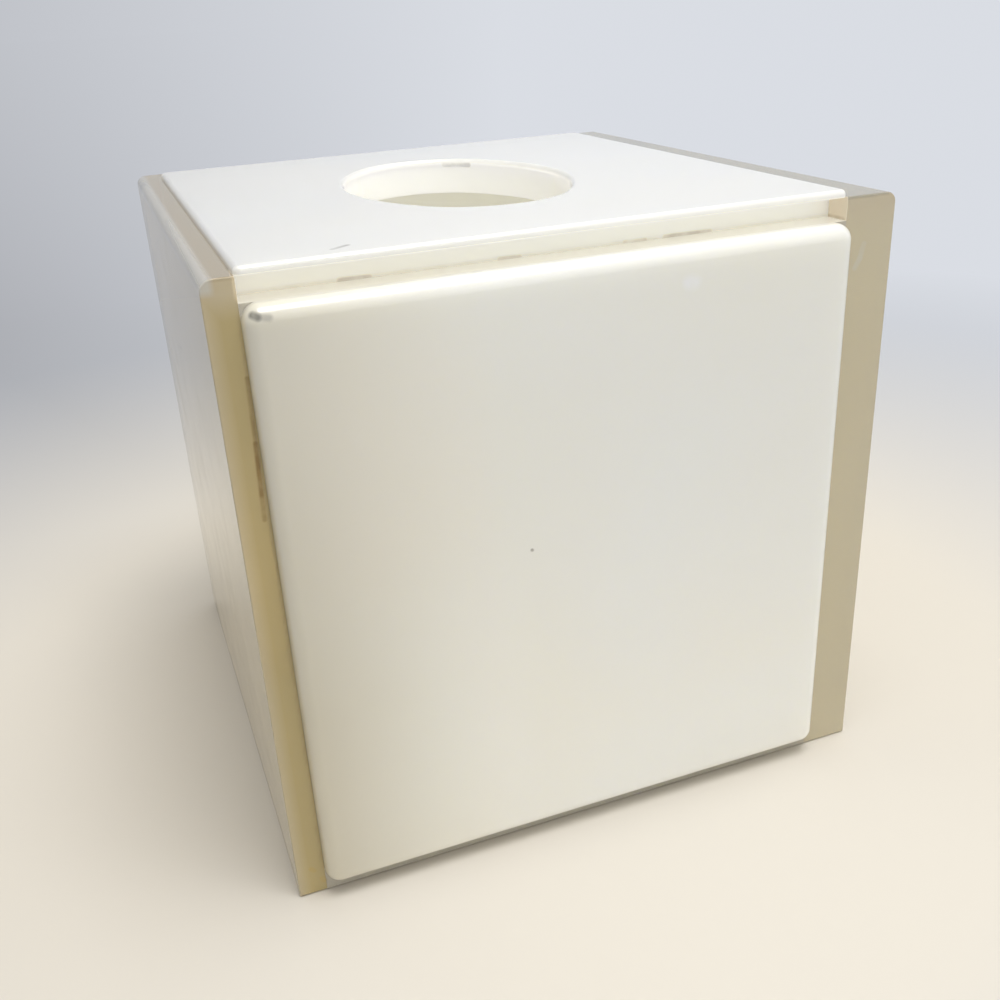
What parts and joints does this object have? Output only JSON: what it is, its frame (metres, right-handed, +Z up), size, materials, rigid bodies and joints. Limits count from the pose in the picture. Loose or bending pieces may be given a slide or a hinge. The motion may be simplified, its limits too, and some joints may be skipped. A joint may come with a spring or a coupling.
{
  "type": "tissue box cover",
  "caption": "Square cover that drops over a cube box of tissues: amber clear slabs round a pearl inner box, bonded pearl plates on the front, back and top, and an oval opening in the top.",
  "frame": {"origin": "centre of the cover's footprint, on the surface that it stands on", "axes": "+Z up out of the oval opening, -Y the front, +X to the right, where the clear slab is the thickest"},
  "size_m": [0.15, 0.1584, 0.1456],
  "materials": {
    "clear_amber": "clear amber acrylic, polished",
    "pearl_liner": "pearl acrylic, polished",
    "pearl_plate": "pearl acrylic, polished, with soft clouds"
  },
  "bodies": {
    "root": {"clear_front": "clear_amber", "clear_back": "clear_amber", "clear_left": "clear_amber", "clear_right": "clear_amber", "liner_top": "pearl_liner", "liner_front": "pearl_liner", "liner_back": "pearl_liner", "liner_left": "pearl_liner", "liner_right": "pearl_liner", "plate_top": "pearl_plate", "plate_front": "pearl_plate", "plate_back": "pearl_plate"}
  },
  "joints": []
}
